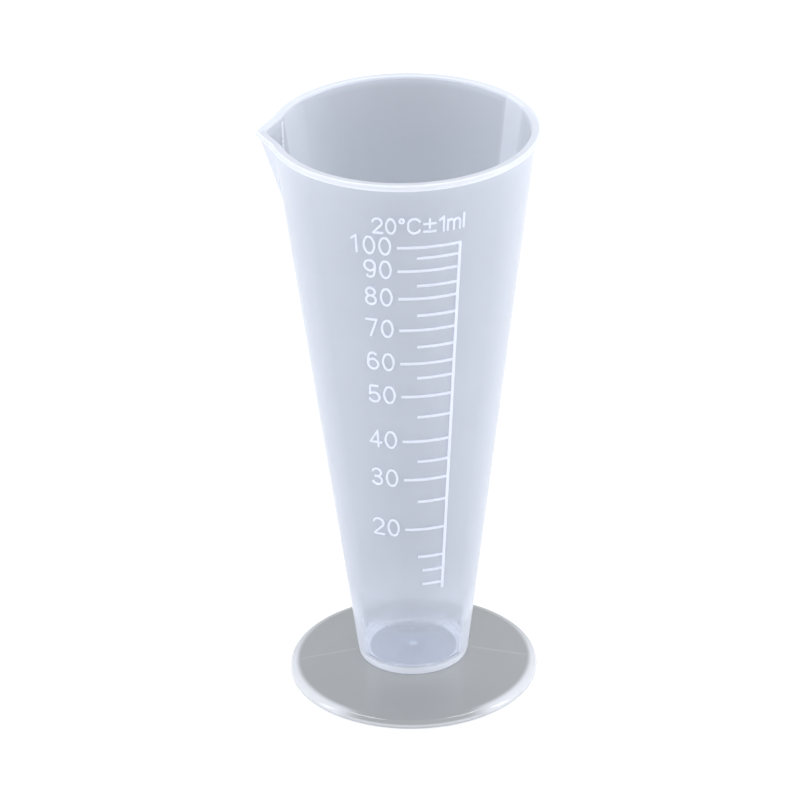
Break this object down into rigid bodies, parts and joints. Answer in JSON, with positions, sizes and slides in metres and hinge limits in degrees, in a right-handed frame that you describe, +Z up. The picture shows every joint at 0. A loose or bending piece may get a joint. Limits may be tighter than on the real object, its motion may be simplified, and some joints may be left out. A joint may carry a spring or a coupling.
{
  "type": "conical measuring cylinder",
  "caption": "Translucent plastic conical measure with a pouring spout, a raised millilitre scale and a wide round foot.",
  "frame": {"origin": "on the cup's axis, in the plane that the foot rests on", "axes": "+Z up along the cup's axis, the pouring spout points along -X, the scale faces -Y"},
  "size_m": [0.0572, 0.0548, 0.125],
  "materials": {
    "cup_polypropylene": "natural translucent polypropylene, milky with a cool tint, fine satin surface",
    "foot_polypropylene": "clear polypropylene, slightly grey, glossy",
    "raised_marks": "frosted raised relief of the same natural polypropylene, whiter than the wall"
  },
  "bodies": {
    "root": {"cup": "cup_polypropylene", "foot": "foot_polypropylene", "scale_lines": "raised_marks", "scale_numerals": "raised_marks", "temperature_note": "raised_marks"}
  },
  "joints": []
}
